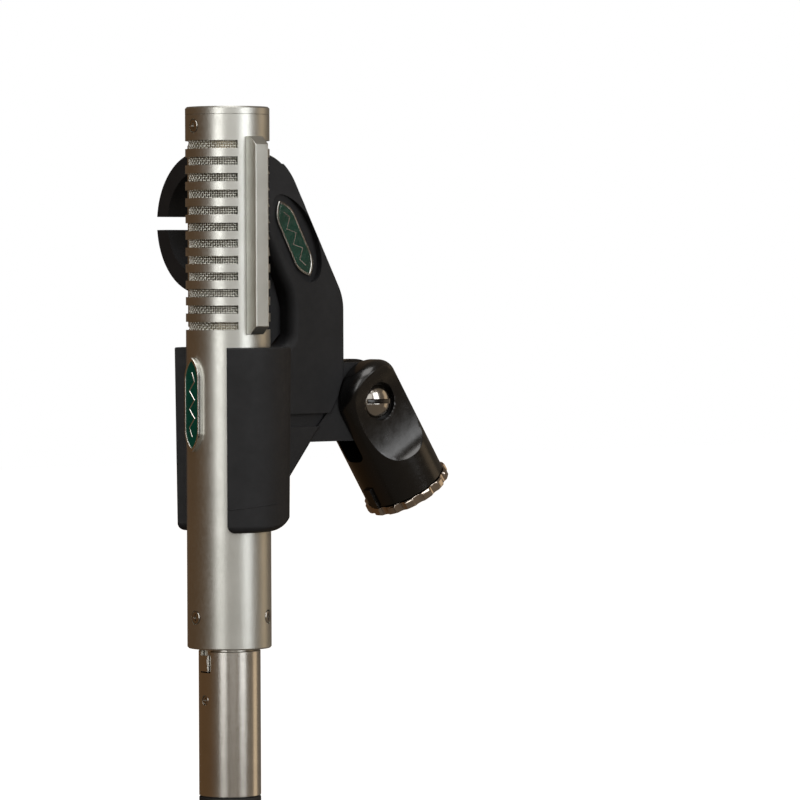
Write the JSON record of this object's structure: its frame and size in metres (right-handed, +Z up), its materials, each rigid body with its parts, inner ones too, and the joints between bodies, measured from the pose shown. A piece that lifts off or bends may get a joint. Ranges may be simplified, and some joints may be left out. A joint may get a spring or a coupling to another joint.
{
  "type": "ribbon microphone",
  "caption": "Slim cylindrical ribbon microphone with slotted grille and side bars, held in a moulded twin-microphone clip with a swivel stand adapter.",
  "frame": {"origin": "centre of the stand thread's mouth, at the lower end of the swivel adapter", "axes": "+Z up along the microphone's axis, -Y towards what the microphone faces, +X towards the clip's badge side; the stand thread leans 32.2 degrees from +Z in the YZ plane"},
  "size_m": [0.0749, 0.1091, 0.224],
  "materials": {
    "satin_nickel": "satin nickel, fine blasted",
    "polished_screws": "polished nickel",
    "steel_mesh": "woven wire",
    "fine_screen": "fine woven wire",
    "brass": "machined",
    "soft_iron": "plated iron",
    "magnet": "nickel plated magnet",
    "foil": "thin corrugated foil",
    "insulator": "moulded insulator",
    "phenolic": "laminate board",
    "rubber_part": "soft rubber",
    "copper_winding": "enamelled copper",
    "wire_insulation": "insulated wire",
    "gold_contact": "gold plated",
    "bright_nickel": "satin bright nickel",
    "green_enamel": "glossy enamel",
    "clear_dome": "clear resin",
    "spring_steel": "spring wire",
    "clamp_plastic": "moulded",
    "matte_black": "matte moulded nylon",
    "gloss_black": "glossy moulded",
    "chrome_ring": "bright chrome"
  },
  "bodies": {
    "stand_adapter": {"yoke": "gloss_black", "pivot_nut": "polished_screws", "thread_insert": "brass"},
    "pivot_screw": {"pivot_screw": "polished_screws"},
    "lock_ring": {"lock_ring": "chrome_ring"},
    "clip": {"clip_cradle": "matte_black", "clip_plate": "matte_black", "clip_web": "matte_black", "clip_neck": "matte_black", "clip_sleeve": "matte_black", "clip_badge_frame": "bright_nickel", "clip_badge_enamel": "green_enamel", "clip_badge_dome": "clear_dome"},
    "microphone": {"badge_enamel": "green_enamel", "badge_frame": "bright_nickel", "base_ring": "satin_nickel", "base_screws": "polished_screws", "connector_pins": "gold_contact", "damping_ring": "rubber_part", "flux_plate_left": "soft_iron", "flux_plate_right": "soft_iron", "grille_mesh_back": "steel_mesh", "grille_mesh_front": "steel_mesh", "housing_tube": "satin_nickel", "inner_screen_back": "fine_screen", "inner_screen_front": "fine_screen", "magnets_left": "magnet", "magnets_right": "magnet", "motor_block_lower": "brass", "motor_block_upper": "brass", "motor_leads": "wire_insulation", "motor_screws": "polished_screws", "output_leads": "wire_insulation", "pin_insulator": "insulator", "pole_piece_left": "soft_iron", "pole_piece_right": "soft_iron", "ribbon_clamp_bars": "brass", "ribbon_clamp_screws": "polished_screws", "ribbon_seats": "insulator", "ribbon_tails": "foil", "side_bar_left": "satin_nickel", "side_bar_right": "satin_nickel", "top_cap": "satin_nickel", "top_cap_screws": "polished_screws", "transformer_bolt": "polished_screws", "transformer_core": "soft_iron", "transformer_nut": "polished_screws", "transformer_pads": "rubber_part", "transformer_tray": "phenolic", "transformer_washer": "brass", "transformer_windings": "copper_winding"},
    "ribbon": {"ribbon": "foil"},
    "plug": {"plug_shell": "bright_nickel", "plug_insulator": "insulator", "plug_contacts": "gold_contact", "latch_spring": "spring_steel", "plug_insert_screw": "polished_screws", "cable_clamp": "clamp_plastic", "cable_boot": "rubber_part"},
    "latch": {"plug_latch": "bright_nickel"}
  },
  "joints": [
    {"name": "clip_tilt", "type": "hinge", "parent": "stand_adapter", "child": "clip", "pos_m": [0, -0.01801, 0.0286], "axis": [1, 0, 0], "range_deg": [-120, 30]},
    {"name": "mic_lift", "type": "slide", "parent": "clip", "child": "microphone", "axis": [0, 0, 1], "range_m": [-0.0035, 0.092]},
    {"name": "plug_pull", "type": "slide", "parent": "microphone", "child": "plug", "axis": [0, 0, -1], "range_m": [0, 0.018]},
    {"name": "latch_press", "type": "slide", "parent": "plug", "child": "latch", "axis": [0, 1, 0], "range_m": [0, 0.0009], "stiffness_N_per_m": 1500, "springref_m": -0.0005, "deforming": ["latch_spring"]},
    {"name": "ribbon_flex", "type": "slide", "parent": "microphone", "child": "ribbon", "axis": [0, 1, 0], "range_m": [-0.0003, 0.0003], "stiffness_N_per_m": 5},
    {"name": "pivot_screw_turn", "type": "hinge", "parent": "stand_adapter", "child": "pivot_screw", "pos_m": [0, -0.01801, 0.0286], "axis": [1, 0, 0], "range_deg": [0, 270]},
    {"name": "lock_ring_turn", "type": "hinge", "parent": "stand_adapter", "child": "lock_ring", "pos_m": [0, 0, 0], "axis": [0, -0.5329, 0.8462], "continuous": true}
  ]
}
